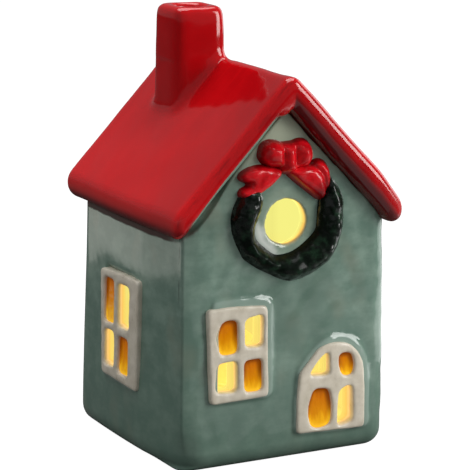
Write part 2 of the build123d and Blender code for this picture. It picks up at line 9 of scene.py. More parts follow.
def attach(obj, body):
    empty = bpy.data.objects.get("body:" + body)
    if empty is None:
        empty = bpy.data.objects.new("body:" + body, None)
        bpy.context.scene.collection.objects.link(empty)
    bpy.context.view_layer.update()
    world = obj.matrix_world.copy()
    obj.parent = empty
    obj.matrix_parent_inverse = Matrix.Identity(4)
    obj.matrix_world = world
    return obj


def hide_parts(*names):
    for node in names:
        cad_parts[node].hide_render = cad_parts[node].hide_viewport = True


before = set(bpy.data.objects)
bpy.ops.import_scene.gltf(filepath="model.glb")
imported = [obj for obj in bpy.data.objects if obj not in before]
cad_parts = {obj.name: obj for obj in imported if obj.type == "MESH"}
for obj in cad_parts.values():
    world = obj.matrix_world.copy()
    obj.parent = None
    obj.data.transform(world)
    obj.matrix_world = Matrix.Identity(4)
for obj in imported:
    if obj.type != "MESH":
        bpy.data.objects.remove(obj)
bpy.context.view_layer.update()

# House walls: a slip-cast shell with gables, floor and foot, dipped in a grey-green gloss glaze
# and left bare underneath. The raised surrounds of the windows and the door belong to the
# casting, so the green runs up over their edges. Inside, a painted glow stands in for the lamp's light.
mm = 0.001
half_width = 32.5
half_depth = 31.1
wall_lean = tan(radians(0.8))
floor_top = 5.8
corner_radius = 6.2
soffit_ridge = 94.5
roof_pitch = radians(46.4)
roof_slope = tan(roof_pitch)
hole_middle = np.array([-0.3, 64.9])
hole_radius = 6.1
wall_grain = 0.5
near_left_wall = (28.5, 31)
left_wall_calm = 0.92
corner_bend = 0.18
corner_drawn_in = 2.2
drawn_in_from = 10
drawn_in_over = 20
back_corner_lean = 0.9
base_swell = 0.9
swell_half_length = 28
corner_steps = np.linspace(0, 1, 5)


def new_piece(name, shape):
    """A new piece of a mesh or a curve."""
    piece = bpy.data.objects.new(name, shape)
    bpy.context.scene.collection.objects.link(piece)
    return piece


def settle(piece, grain, rounds):
    """Melt a piece's mesh into one skin of this grain in millimetres and relax it."""
    skin = piece.modifiers.new("skin", "REMESH")
    skin.mode = "VOXEL"
    skin.voxel_size = grain * mm
    relaxed = piece.modifiers.new("relaxed", "SMOOTH")
    relaxed.factor = 0.5
    relaxed.iterations = rounds
    evaluated = piece.evaluated_get(bpy.context.evaluated_depsgraph_get())
    piece.data = bpy.data.meshes.new_from_object(evaluated)
    piece.modifiers.clear()
    piece.data.shade_smooth()


def cast(name, nodes, lumps, grain, rounds):
    """A piece cast in one from CAD nodes and from lumps of clay, which it takes up."""
    clay = bmesh.new()
    for node in nodes:
        clay.from_mesh(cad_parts[node].data)
    bmesh.ops.remove_doubles(clay, verts=clay.verts, dist=1e-6)
    for lump in lumps:
        clay.from_mesh(lump.data)
        bpy.data.objects.remove(lump)
    mesh = bpy.data.meshes.new(name)
    clay.to_mesh(mesh)
    clay.free()
    piece = new_piece(name, mesh)
    settle(piece, grain, rounds)
    return piece


def points_of(piece):
    """A piece's points in millimetres."""
    flat = np.empty(3 * len(piece.data.vertices))
    piece.data.vertices.foreach_get("co", flat)
    return flat.reshape(-1, 3) / mm


def normals_of(piece):
    """The directions in which a piece's points face."""
    flat = np.empty(3 * len(piece.data.vertices))
    piece.data.vertex_normals.foreach_get("vector", flat)
    return flat.reshape(-1, 3)


def set_points(piece, points):
    """Move a piece's points to these places in millimetres."""
    piece.data.vertices.foreach_set("co", (points * mm).ravel())
    piece.data.update()


def hand_waves(points, length, depth, seed):
    """Slow unevenness left by the mould and the hand, as a height for each point."""
    chance = np.random.default_rng(seed)
    turns = chance.normal(size=(3, 10)) * 2 * pi / length
    return depth * np.sin(points @ turns + chance.uniform(0, 2 * pi, 10)).mean(axis=1)


def ease(values, low, high):
    """0 below low, 1 above high, and a smooth rise between them."""
    share = np.clip((values - low) / (high - low), 0, 1)
    return share * share * (3 - 2 * share)


def keep_value(piece, name, values):
    """Keep one number for each point of a piece, for its finish to read."""
    layer = piece.data.attributes.new(name, "FLOAT", "POINT")
    layer.data.foreach_set("value", values.astype(np.float32))


class Recipe:
    """A value in a finish's nodes. Sums of such values add the Math nodes that work them out."""

    def __init__(self, tree, socket=None):
        self.tree = tree
        self.socket = socket

    def fill(self, node, sockets):
        """Give a node's sockets their values or links."""
        for name, value in sockets.items():
            if isinstance(value, Recipe):
                self.tree.links.new(value.socket, node.inputs[name])
            else:
                node.inputs[name].default_value = value

    def node(self, kind, settings, sockets, output=0):
        """Add any node by its type, settings and sockets, and give one of its outputs."""
        added = self.tree.nodes.new("ShaderNode" + kind)
        for name, value in settings.items():
            if name == "stops":
                ramp = added.color_ramp.elements
                while len(ramp) < len(value):
                    ramp.new(1)
                for element, (position, shade) in zip(ramp, value):
                    element.position = position
                    element.color = shade
            else:
                setattr(added, name, value)
        self.fill(added, sockets)
        return Recipe(self.tree, added.outputs[output])

    def sum(self, operation, *values):
        """Work out one Math operation on values."""
        return self.node("Math", {"operation": operation}, dict(enumerate(values)))

    def __add__(self, other):
        return self.sum("ADD", self, other)

    def __radd__(self, other):
        return self.sum("ADD", other, self)

    def __sub__(self, other):
        return self.sum("SUBTRACT", self, other)

    def __rsub__(self, other):
        return self.sum("SUBTRACT", other, self)

    def __mul__(self, other):
        return self.sum("MULTIPLY", self, other)

    def __rmul__(self, other):
        return self.sum("MULTIPLY", other, self)

    def __abs__(self):
        return self.sum("ABSOLUTE", self)

    def rise(self, low, high):
        """0 below low, 1 above high, and a smooth rise between them."""
        limits = {"Value": self, "From Min": low, "From Max": high}
        return self.node("MapRange", {"interpolation_type": "SMOOTHSTEP"}, limits)

    def along(self, letter):
        """One letter of a place: X, Y or Z."""
        return self.node("SeparateXYZ", {}, {0: self}, letter)

    def stretched(self, x, y, z):
        """A place drawn out along the axes, so that a pattern on it is drawn out too."""
        return self.node("VectorMath", {"operation": "MULTIPLY"}, {0: self, 1: (1 / x, 1 / y, 1 / z)})

    def cloud(self, size, detail=3.0, roughness=0.5):
        """A cloudy pattern on a place, with clouds of about this size in millimetres."""
        sockets = {"Vector": self, "Scale": 1 / size, "Detail": detail, "Roughness": roughness}
        return self.node("TexNoise", {}, sockets)

    def tint(self, first, second):
        """The first colour where the value is 0, and the second where it is 1."""
        return self.node("Mix", {"data_type": "RGBA"}, {0: self, 6: first, 7: second}, 2)

    def kept(self, name):
        """A number kept on the piece's points."""
        return self.node("Attribute", {"attribute_name": name}, {}, "Fac")

    def bumps(self, depth):
        """The surface direction over a pattern that stands this high in millimetres."""
        return self.node("Bump", {}, {"Height": self, "Distance": depth * mm, "Strength": 1.0}, "Normal")


def colour(red, green, blue):
    """A colour as the eye reads it, in steps of 255, as the light that it sends back."""
    steps = np.array([red, green, blue]) / 255
    light = np.where(steps <= 0.04045, steps / 12.92, ((steps + 0.055) / 1.055) ** 2.4)
    return (*(float(part) for part in light), 1.0)


def new_finish(name):
    """A new material, and the place on its piece in millimetres as its first value."""
    material = bpy.data.materials.new(name)
    material.use_nodes = True
    start = Recipe(material.node_tree)
    spot = start.node("TexCoord", {}, {}, "Object")
    return material, start.node("VectorMath", {"operation": "SCALE"}, {0: spot, "Scale": 1 / mm})


def finish(material, sockets, *pieces):
    """Set the material's shader and put it on the pieces."""
    Recipe(material.node_tree).fill(material.node_tree.nodes["Principled BSDF"], sockets)
    for piece in pieces:
        piece.data.materials.clear()
        piece.data.materials.append(material)


def depth_in_wall(points):
    """How far a point of the shell lies behind the outer faces of its walls."""
    shrink = wall_lean * points[:, 2]
    beside = np.abs(points[:, 0]) - (half_width - shrink - corner_radius)
    before = np.abs(points[:, 1]) - (half_depth - shrink - corner_radius)
    past_corner = np.hypot(np.maximum(beside, 0), np.maximum(before, 0))
    return corner_radius - past_corner - np.minimum(np.maximum(beside, before), 0)


def round_corners(corners, radius):
    """A closed outline with its corners rounded off."""
    corners = np.array(corners, float)
    to_last = np.roll(corners, 1, axis=0) - corners
    to_next = np.roll(corners, -1, axis=0) - corners
    reach_last = np.linalg.norm(to_last, axis=1, keepdims=True)
    reach_next = np.linalg.norm(to_next, axis=1, keepdims=True)
    starts = corners + to_last * np.minimum(radius / reach_last, 0.48)
    ends = corners + to_next * np.minimum(radius / reach_next, 0.48)
    curve = [(1 - t) ** 2 * starts + 2 * t * (1 - t) * corners + t * t * ends for t in corner_steps]
    return np.stack(curve, axis=1).reshape(-1, 2)


def edge_distance(points, outline):
    """How far flat points lie from a closed outline."""
    nearest = np.full(len(points), 1e9)
    for start, end in zip(outline, np.roll(outline, -1, axis=0)):
        run = end - start
        share = np.clip(((points - start) @ run) / (run @ run), 0, 1)
        nearest = np.minimum(nearest, np.linalg.norm(points - start - share[:, None] * run, axis=1))
    return nearest


def within(points, outline):
    """Which flat points lie inside a closed outline."""
    inside = np.zeros(len(points), bool)
    for start, end in zip(outline, np.roll(outline, -1, axis=0)):
        if start[1] != end[1]:
            level_with = (start[1] > points[:, 1]) != (end[1] > points[:, 1])
            share = (points[:, 1] - start[1]) / (end[1] - start[1])
            inside ^= level_with & (points[:, 0] < start[0] + share * (end[0] - start[0]))
    return inside


def slab(name, outlines, low, high, grain, rounds):
    """Closed outlines filled, holes left open, and drawn out from low to high off the wall."""
    line = bpy.data.curves.new(name, "CURVE")
    line.dimensions = "2D"
    line.fill_mode = "BOTH"
    line.extrude = (high - low) / 2 * mm
    for outline in outlines:
        spline = line.splines.new("POLY")
        spline.points.add(len(outline) - 1)
        corners = np.zeros((len(outline), 4))
        corners[:, :2] = outline * mm
        spline.points.foreach_set("co", corners.ravel())
        spline.use_cyclic_u = True
    drawn = new_piece(name + "_drawn", line)
    mesh = bpy.data.meshes.new_from_object(drawn.evaluated_get(bpy.context.evaluated_depsgraph_get()))
    bpy.data.objects.remove(drawn)
    mesh.transform(Matrix.Translation((0, 0, (low + high) / 2 * mm)))
    piece = new_piece(name, mesh)
    settle(piece, grain, rounds)
    return piece


def onto_front(flat):
    """Places on the front wall: across, up, and off the wall."""
    return np.stack([flat[:, 0], wall_lean * flat[:, 1] - half_depth - flat[:, 2], flat[:, 1]], axis=1)


def onto_left(flat):
    """Places on the left wall: across from back to front, up, and off the wall."""
    return np.stack([wall_lean * flat[:, 1] - half_width - flat[:, 2], -flat[:, 0], flat[:, 1]], axis=1)


def onto_right(flat):
    """Places on the right wall: across from front to back, up, and off the wall."""
    return np.stack([half_width - wall_lean * flat[:, 1] + flat[:, 2], flat[:, 0], flat[:, 1]], axis=1)


front_face = [(-23.5, 44.2), (-14.5, 44.3), (-5.8, 43.6), (-5.5, 19.1), (-22.7, 18.7)]
front_panes = {
    "top_left": [(-19.0, 40.8), (-14.6, 40.6), (-14.6, 31.7), (-19.7, 31.6), (-21.1, 36.8)],
    "top_right": [(-12.5, 40.6), (-7.0, 41.5), (-7.1, 32.7), (-12.5, 33.0)],
    "bottom_left": [(-20.8, 28.8), (-19.6, 29.6), (-14.8, 29.8), (-14.8, 21.3), (-21.2, 21.8)],
    "bottom_right": [(-12.8, 29.5), (-7.4, 29.7), (-7.3, 20.9), (-12.6, 20.9)],
}
arch_face = [
    (2.9, 7.5), (3.0, 16.9), (3.8, 24.0), (7.2, 27.6), (9.7, 30.2), (12.7, 31.2),
    (16.1, 31.2), (19.2, 30.4), (21.8, 28.0), (23.4, 24.9), (23.9, 18.1), (23.9, 6.8),
]
arch_panes = {
    "top_left": [(7.2, 22.9), (7.3, 24.2), (10.3, 27.7), (12.8, 29.1), (13.1, 22.5)],
    "top_right": [(15.9, 28.1), (19.8, 28.0), (20.7, 24.6), (20.1, 21.6), (16.8, 21.8), (15.7, 25.2)],
    "bottom_left": [
        (8.2, 19.3), (12.9, 18.9), (13.8, 13.9), (13.5, 9.1),
        (10.4, 8.2), (7.4, 8.8), (6.3, 13.0), (7.1, 16.7),
    ],
    "bottom_right": [(15.8, 17.5), (17.3, 18.7), (20.1, 19.1), (20.4, 8.9), (15.4, 8.0)],
}
side_face = [(-12.7, 47.4), (0.0, 48.2), (10.6, 48.2), (9.8, 17.9), (-11.7, 18.4)]
side_panes = {
    "top_left": [(-10.4, 45.4), (-4.3, 45.6), (-4.2, 33.4), (-10.3, 33.1)],
    "top_right": [(-2.0, 45.2), (5.1, 45.4), (5.0, 33.6), (-1.9, 33.3)],
    "bottom_left": [(-10.1, 31.0), (-4.1, 31.3), (-4.0, 21.4), (-10.0, 21.2)],
    "bottom_right": [(-1.7, 30.8), (4.5, 31.0), (4.6, 20.8), (-1.8, 20.6)],
}


def mirrored(panes):
    """The panes of a window as its twin on the opposite wall has them."""
    other = {"left": "right", "right": "left"}
    turned = {}
    for pane, corners in panes.items():
        row, side = pane.split("_")
        turned[f"{row}_{other[side]}"] = [(-across, up) for across, up in corners]
    return turned


rising = ["bottom_left", "top_right"]
falling = ["top_left", "bottom_right"]
right_face = [(-across, up) for across, up in side_face]
right_panes = mirrored(side_panes)
surround_proud = 0.75
surround_root = -3.8
surround_grain = 0.4
surround_rounding = 2.2
surround_short = np.array([0.3, 0.4])
front_past = 1.8
side_past = -1.2
pane_rounding = 1.6
pane_widening = 1.14


def raise_surround(name, face, panes, past, onto):
    """A raised surround, reaching this far past the white face above and at its right."""
    face = np.array(face)
    share = (face - face.min(axis=0)) / (face.max(axis=0) - face.min(axis=0))
    outline = round_corners(face + share * past - (1 - share) * surround_short, surround_rounding)
    cuts = [round_corners(corners, pane_rounding) for corners in panes.values()]
    wide = [cut.mean(axis=0) + (cut - cut.mean(axis=0)) * pane_widening for cut in cuts]
    lump = slab(name, [outline, *wide], surround_root, surround_proud, surround_grain, rounds=1)
    set_points(lump, onto(points_of(lump)))
    return lump


surrounds = [
    raise_surround("front_window_surround", front_face, front_panes, front_past, onto_front),
    raise_surround("arched_door_surround", arch_face, arch_panes, front_past, onto_front),
    raise_surround("left_window_surround", side_face, side_panes, side_past, onto_left),
    raise_surround("right_window_surround", right_face, right_panes, side_past, onto_right),
]
walls = cast("walls", ["house_walls"], surrounds, wall_grain, rounds=5)
wall_points = points_of(walls)
wall_x, wall_y, wall_z = wall_points.T
behind = depth_in_wall(wall_points)

# Mould and hand leave the outside uneven, least on the left wall.
outside = 1 - ease(behind, 1.0, 2.5)
calm = 1 - left_wall_calm * ease(-wall_x, *near_left_wall)
slow_waves = hand_waves(wall_points, length=26, depth=0.5, seed=3)
quick_waves = hand_waves(wall_points, length=9, depth=0.12, seed=4)
uneven = (slow_waves + quick_waves) * calm
moved = wall_points + normals_of(walls) * (uneven * outside * ease(wall_z, 0.5, 6))[:, None]

# The back-left corner leans in towards the top. The front-left one is pinched to a crease and drawn
# in, and the foot of the left wall swells.
moved[:, 0] += back_corner_lean * (ease(-wall_x, 0, 32) * ease(wall_y, 0, 31) * ease(wall_z, 8, 62))
straight = np.array([half_width, half_depth]) - corner_radius
past_corner = np.maximum(np.abs(wall_points[:, :2]) - straight, 0)
turned = np.hypot(past_corner[:, 0], past_corner[:, 1])
way_left, way_front = past_corner.T / np.maximum(turned, 0.1)
way_left = np.maximum(way_left, 0.05)
bent = np.sqrt(way_front ** 2 + 4 * corner_bend * way_left ** 2) - way_front
squarer = np.minimum(1 / way_left, bent / (2 * corner_bend * way_left ** 2)) - 1
near_camera = (wall_x < 0) & (wall_y < 0) & (turned > 0.1)
pull = squarer * outside * near_camera * ease(wall_z, 4, 14)
moved[:, :2] -= past_corner * pull[:, None]
towards_corner = np.clip((-drawn_in_from - wall_y) / drawn_in_over, 0, 1) ** 1.2
on_left = ease(-wall_x, half_width - 3 * corner_radius, half_width - corner_radius) * outside
moved[:, 0] += corner_drawn_in * towards_corner * on_left
swell = np.clip(1 - (wall_y / swell_half_length) ** 2, 0, 1) * (1 - ease(wall_z, 6, 30))
moved[:, 0] -= base_swell * swell * on_left
set_points(walls, moved)

# A painted glow stands in for the lamp's light on the room, the edge of the round window and the cut edges of
# the open panes.
indoors = (wall_z > floor_top - 0.4) & (soffit_ridge - roof_slope * np.abs(wall_x) - wall_z > 1.5)
hole_distance = np.hypot(wall_x - hole_middle[0], wall_z - hole_middle[1])
in_hole = (hole_distance < hole_radius + 0.4) & (wall_y < 0)
lamplit = np.where(in_hole, ease(behind, -0.2, 2.8), ease(behind, 0.7, 3.8))
for face, across, near in (
    (front_face, wall_x, wall_y < -20),
    (arch_face, wall_x, wall_y < -20),
    (side_face, -wall_y, wall_x < -20),
    (right_face, wall_y, wall_x > 20),
):
    on_wall = np.stack([across, wall_z], axis=1)
    outline = np.array(face)
    cut_edge = near & within(on_wall, outline) & (edge_distance(on_wall, outline) > 1)
    lamplit = np.where(cut_edge, ease(behind, -1.2, 1.4), lamplit)
keep_value(walls, "lamplit", lamplit * indoors)
keep_value(walls, "raised", ease(-behind, 0.2, 0.65))
keep_value(walls, "bare", 1 - ease(wall_z + behind * 0.2, 0.5, 1.3))

bare_clay = colour(196, 182, 164)
dark_base_under_painted_glow = colour(16, 12, 6)
green_light = colour(138, 163, 148)
green_deep = colour(110, 138, 124)
green_thin = colour(142, 152, 134)
green_darker = colour(98, 124, 110)
green_worn_and_painted_highlight = colour(178, 198, 186)
pale_green_painted_light = colour(188, 199, 174)
eave_painted_shadow = colour(70, 22, 20)
milky_glaze_and_painted_highlight = colour(236, 242, 234)
seam_dark = colour(58, 74, 66)
glow_low = colour(246, 216, 106)
painted_glow_stops = [
    (0.0, (0, 0, 0, 1)),
    (0.15, colour(140, 104, 52)),
    (0.4, colour(240, 192, 94)),
    (0.75, colour(244, 216, 108)),
    (1.0, colour(236, 231, 127)),
]
wall_finish, spot = new_finish("wall_glaze")
x, y, z = (spot.along(letter) for letter in "XYZ")
mottle = spot.cloud(8, 4, 0.6)
strokes = spot.stretched(3, 3, 1).cloud(2.4, 3, 0.6)
green = (mottle * 0.8 + strokes * 0.3).rise(0.4, 0.75).tint(green_deep, green_light)
thin = (spot.stretched(1, 1, 1.6).cloud(14, 2) - 0.1 * strokes).rise(0.5, 0.66)
green = (thin * 0.5).tint(green, green_thin)
# Painted shade: the green darkens towards the bottom of the walls.
green = ((1 - z.rise(3, 48)) * 0.5).tint(green, green_darker)
# A darker patch in the middle of the front wall.
in_middle = (1 - abs(x - 2).rise(6, 18)) * (1 - abs(z - 41).rise(5, 14)) * (0 - y).rise(26, 29)
green = (in_middle * 0.5).tint(green, green_darker)
# Painted light: a paler green on the gable top, which the verges shade.
green = (z.rise(74, 88) * 0.8).tint(green, pale_green_painted_light)
beside_hole = x - hole_middle[0]
above_hole = z - hole_middle[1]
from_hole = spot.sum("SQRT", beside_hole * beside_hole + above_hole * above_hole)
in_ring = (1 - from_hole.rise(7.5, 10.5)) * (0 - y).rise(20, 24)
# Painted light: a paler green inside the wreath's ring, which the wreath shades.
green = (in_ring * 0.25).tint(green, pale_green_painted_light)
low_left = (0 - 0.8 * beside_hole - 0.6 * above_hole + 3 * (spot.cloud(4) - 0.5)).rise(5.0, 7.5)
# At the lower left inside the ring: a painted highlight over thick milky glaze.
green = (in_ring * low_left * 0.95).tint(green, milky_glaze_and_painted_highlight)
# The raised surrounds turn paler, partly where the glaze thins over them and partly as a painted highlight.
green = (spot.kept("raised") * 0.45).tint(green, green_worn_and_painted_highlight)
# Painted shadow with a painted red reflection of the roof, on the tops of the side walls under the eaves.
eave_shadow_edge = (z + 0.8 * (spot.cloud(6) - 0.5)).rise(61.2, 61.8)
under_eave = abs(x).rise(29.5, 30.5) * eave_shadow_edge * y.rise(-29, -26)
green = (under_eave * 0.9).tint(green, eave_painted_shadow)
seam_turn = radians(40)
past_left = x + straight[0]
past_front = y + straight[1]
off_seam = past_left * sin(seam_turn) - past_front * cos(seam_turn) + 0.8 * (spot.cloud(5) - 0.5)
at_corner = (0 - x).rise(29, 30) * (0 - y).rise(26, 27) * z.rise(44, 50)
seam_line = at_corner * (1 - abs(off_seam).rise(0.08, 0.3)) * spot.cloud(3).rise(0.4, 0.6)
green = (seam_line * 0.7).tint(green, seam_dark)
# Painted glow in place of the lamp's light, over a near-black base so that the glow alone gives the colour;
# low in the room it turns a warmer yellow.
lit = spot.kept("lamplit")
bare = spot.kept("bare")
clay = bare.tint(green, bare_clay)
glow = lit.node("ValToRGB", {"stops": painted_glow_stops}, {0: lit})
low_room = lit.rise(0.75, 0.95) * (1 - z.rise(36, 50))
finish(
    wall_finish,
    {
        "Base Color": lit.rise(0.05, 0.5).tint(clay, dark_base_under_painted_glow),
        "Roughness": 0.07 + 0.03 * mottle + 0.5 * bare + 0.45 * under_eave,
        "Emission Color": (low_room * 0.8).tint(glow, glow_low),
        "Emission Strength": 1.0,
        "Normal": (spot.cloud(5, 2) * (1 - 0.85 * (0 - x).rise(*near_left_wall))).bumps(0.03),
    },
    walls,
)
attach(walls, "house")
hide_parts("house_walls")

# Window and door frames: the flat faces of the raised surrounds, brushed by hand with a thick
# off-white glaze that keeps its own uneven outline. Two panes of each are cut through the wall,
# and their cut edges carry a painted glow that stands in for the lamp's light.
frame_proud = 1.45
frame_root = -5.2
frame_grain = 0.28
frame_rounding = 1.4
frame_roll = 1.0
front_lit_depth = 5.0
arch_lit_depth = 6.0
side_lit_depth = 2.6


def brush_frame(name, node, face, panes, open_panes, lit_depth, onto):
    """A white frame with a softly rolled edge, the cut edges of its open panes taking the full painted glow
    at this depth.
    """
    face = round_corners(face, frame_rounding)
    cuts = {pane: round_corners(corners, pane_rounding) for pane, corners in panes.items()}
    piece = slab(name, [face, *cuts.values()], frame_root, frame_proud, frame_grain, rounds=3)
    flat = points_of(piece)
    edge = np.min([edge_distance(flat[:, :2], line) for line in (face, *cuts.values())], axis=0)
    roll = np.sqrt(1 - (1 - np.clip(edge / frame_roll, 0, 1)) ** 2)
    proud = flat[:, 2] > 0
    flat[proud, 2] *= (0.7 + 0.3 * roll)[proud]
    flat[:, 2] += hand_waves(flat, length=8, depth=0.12, seed=len(name)) * proud
    set_points(piece, flat)
    settle(piece, frame_grain, rounds=4)
    flat = points_of(piece)
    # The painted glow on the cut edges grows with depth and is weaker on the upward-facing sills.
    lit_edge = np.min([edge_distance(flat[:, :2], cuts[pane]) for pane in open_panes], axis=0)
    depth = frame_proud - flat[:, 2]
    sill = ease(normals_of(piece)[:, 1], 0.4, 0.8) * (1 - ease(depth, 1.5, 4.0))
    keep_value(piece, "lamplit", ease(depth, 0.5, lit_depth) * (1 - 0.6 * sill) * (lit_edge < 0.9))
    set_points(piece, onto(flat))
    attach(piece, "house")
    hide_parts(node)
    return piece


frames = [
    brush_frame(
        "front_window_white", "front_window_frame", front_face, front_panes,
        rising, front_lit_depth, onto_front,
    ),
    brush_frame(
        "arched_door_white", "arched_door_frame", arch_face, arch_panes,
        falling, arch_lit_depth, onto_front,
    ),
    brush_frame(
        "left_window_white", "left_window_frame", side_face, side_panes,
        rising, side_lit_depth, onto_left,
    ),
    brush_frame(
        "right_window_white", "right_window_frame", right_face, right_panes,
        falling, side_lit_depth, onto_right,
    ),
]
white_glaze = colour(236, 227, 209)
white_thin = colour(218, 208, 188)
painted_edge_glow_stops = [
    (0.0, (0, 0, 0, 1)),
    (0.15, colour(118, 82, 46)),
    (0.4, colour(236, 176, 98)),
    (0.75, colour(250, 204, 98)),
    (1.0, colour(246, 216, 106)),
]
frame_finish, spot = new_finish("frame_glaze")
cloudy = spot.cloud(4, 4, 0.6)
# Painted glow in place of the lamp's light on the cut edges of the open panes, over a near-black base.
lit = spot.kept("lamplit")
white = cloudy.rise(0.35, 0.7).tint(white_thin, white_glaze)
finish(
    frame_finish,
    {
        "Base Color": lit.rise(0.15, 0.7).tint(white, dark_base_under_painted_glow),
        "Roughness": 0.2 + 0.2 * cloudy,
        "Emission Color": lit.node("ValToRGB", {"stops": painted_edge_glow_stops}, {0: lit}),
        "Emission Strength": 1.0,
        "Normal": spot.cloud(2.4, 2).bumps(0.03),
    },
    *frames,
)

# Blind panes: pools of amber glaze that ran down the pressed panes in the firing, so they are
# dished, and swell towards the lower edge. Their colour is painted shade under the upper edge and painted
# light towards the lower one.
pool_root = -0.9
pool_rise = 0.6
pool_grain = 0.25
pool_rounding = 2.0
pool_widening = 1.06
pool_dish = 0.9
pool_belly = 1.1
dish_width = 2.0


def pour_pools(name, node, panes, blind_panes, onto):
    """Amber pools in the blind panes of a frame, dished towards the middle."""
    cuts = [round_corners(panes[pane], pool_rounding) for pane in blind_panes]
    wide = [cut.mean(axis=0) + (cut - cut.mean(axis=0)) * pool_widening for cut in cuts]
    piece = slab(name, wide, pool_root, pool_rise, pool_grain, rounds=2)
    flat = points_of(piece)
    edge = np.min([edge_distance(flat[:, :2], cut) for cut in wide], axis=0)
    top = flat[:, 2] > 0
    dish = 1 - (1 - np.clip(edge / dish_width, 0, 1)) ** 2
    fall = np.zeros(len(flat))
    for cut in wide:
        low, high = cut.min(axis=0), cut.max(axis=0)
        inside = np.all((flat[:, :2] > low - 0.5) & (flat[:, :2] < high + 0.5), axis=1)
        fall[inside] = (high[1] - flat[inside, 1]) / (high[1] - low[1])
    flat[top, 2] *= (1 - pool_dish * dish + pool_belly * dish * fall ** 2)[top]
    keep_value(piece, "fall", fall)
    keep_value(piece, "rim", 1 - ease(edge, 0.5, 1.8))
    set_points(piece, onto(flat))
    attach(piece, "house")
    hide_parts(node)
    return piece


pools = [
    pour_pools("front_window_amber", "front_window_glaze", front_panes, falling, onto_front),
    pour_pools("arched_door_amber", "arched_door_glaze", arch_panes, rising, onto_front),
    pour_pools("left_window_amber", "left_window_glaze", side_panes, falling, onto_left),
    pour_pools("right_window_amber", "right_window_glaze", right_panes, rising, onto_right),
]
amber_and_painted_shading_stops = [
    (0.0, colour(142, 70, 1)),
    (0.25, colour(168, 92, 1)),
    (0.6, colour(180, 112, 3)),
    (0.85, colour(202, 146, 16)),
    (1.0, colour(186, 120, 6)),
]
amber_painted_shadow = colour(104, 46, 1)
amber_painted_highlight = colour(232, 178, 40)
pool_finish, spot = new_finish("pane_glaze")
fall = spot.kept("fall")
run = fall + 0.5 * (spot.stretched(1, 1, 4).cloud(1.2, 2) - 0.5)
# The amber runs from painted shade under the upper edge to painted light at the lower one, streaked where the
# glaze ran.
amber = run.node("ValToRGB", {"stops": amber_and_painted_shading_stops}, {0: run})
rim = spot.kept("rim")
# Painted shadow of the frame along the upper rim.
amber = (rim * (1 - fall.rise(0.3, 0.8)) * 0.8).tint(amber, amber_painted_shadow)
# Painted highlight along the lower rim.
amber = (rim * run.rise(0.7, 0.95) * 0.7).tint(amber, amber_painted_highlight)
finish(
    pool_finish,
    {
        "Base Color": amber,
        "Roughness": 0.08 + 0.1 * spot.cloud(2),
        "IOR": 1.2,
        # Painted glow: the blind panes shine as if the lamp's light came through them.
        "Emission Color": amber,
        "Emission Strength": 0.75,
        "Normal": spot.cloud(1.8, 2).bumps(0.12),
    },
    *pools,
)

# Roof and chimney: a gabled roof set on the walls, the stack luted to its left slope with a soft
# fillet of slip, and both brushed down the slope with the same thick glossy red glaze. Under the
# thin lip of the left verge the green of the wall runs up, and the bare inside carries a painted glow in
# place of the lamp's light.
ridge_height = 104.7
stack_middle = np.array([-6.85, 11.5])
stack_half = 7.5
fillet = 4.2
lip_thinned = 2.5
right_eave_droop = 1.2
left_of_ridge = (1.0, 4.0)
eave_start = 29
attic_half_width = 27.5
attic_half_depth = 26.5
attic_top = 103


def soften(piece, chosen, rounds):
    """Relax the chosen points of a piece, as a wet finger rounds edges and fills corners."""
    group = piece.vertex_groups.new(name="soft")
    group.add(np.flatnonzero(chosen).tolist(), 1.0, "REPLACE")
    wiped = piece.modifiers.new("wiped", "SMOOTH")
    wiped.vertex_group = group.name
    wiped.factor = 0.5
    wiped.iterations = rounds
    evaluated = piece.evaluated_get(bpy.context.evaluated_depsgraph_get())
    piece.data = bpy.data.meshes.new_from_object(evaluated)
    piece.modifiers.clear()
    piece.vertex_groups.clear()


roof = cast("roof_and_chimney", ["roof", "chimney"], [], wall_grain, rounds=14)
roof_points = points_of(roof)
under_ridge = ridge_height - roof_slope * np.abs(roof_points[:, 0]) - roof_points[:, 2]
below_slope = under_ridge * cos(roof_pitch)
off_stack = np.abs(roof_points[:, :2] - stack_middle).max(axis=1) - stack_half
soften(roof, (off_stack < fillet) & (below_slope < 0.8), rounds=80)
roof_points = points_of(roof)
roof_x, roof_y, roof_z = roof_points.T

# The left verge is wiped to a thin lip, and the right eave hangs a little lower.
front_lip = ease(-roof_y, 29.4, 30.8) * ease(-roof_x, *left_of_ridge) * ease(below_slope, 3.0, 6.8)
roof_points += (lip_thinned * front_lip)[:, None] * np.array([-sin(roof_pitch), 0, cos(roof_pitch)])
roof_points[:, 2] -= right_eave_droop * ease(roof_x, 25, 34)
set_points(roof, roof_points)
roof_waves = hand_waves(roof_points, length=34, depth=0.4, seed=11)
roof_waves += hand_waves(roof_points, length=12, depth=0.06, seed=12)
in_attic = (np.abs(roof_y) < attic_half_depth) & (np.abs(roof_x) < attic_half_width) & (roof_z < attic_top)
in_attic &= normals_of(roof)[:, 2] < 0.2
set_points(roof, roof_points + normals_of(roof) * (roof_waves * ~in_attic)[:, None])
keep_value(roof, "attic", in_attic & (below_slope > 5))
facing = normals_of(roof)
at_eave = (np.abs(roof_x) > eave_start) * ease(np.abs(facing[:, 0]), 0.1, 0.4)
eave_end = at_eave * (1 - ease(facing[:, 2], -0.6, 0.0))
start_dark = np.where(roof_x > 0, 3.0, 6.0)
keep_value(roof, "soffit", np.maximum(ease(below_slope - start_dark, 0, 2.0), eave_end))
keep_value(roof, "dull", at_eave * (1 - ease(facing[:, 2], 0.15, 0.45)))
over_wall = ease(roof_y, -31.6, -31.0) * (1 - ease(roof_y, -28.5, -27.5))
over_wall *= ease(-roof_x, *left_of_ridge) * (1 - ease(-roof_x, 26.0, 28.5))
keep_value(roof, "green", over_wall * ease(below_slope, 3.6, 4.4))
red_glaze = colour(200, 8, 16)
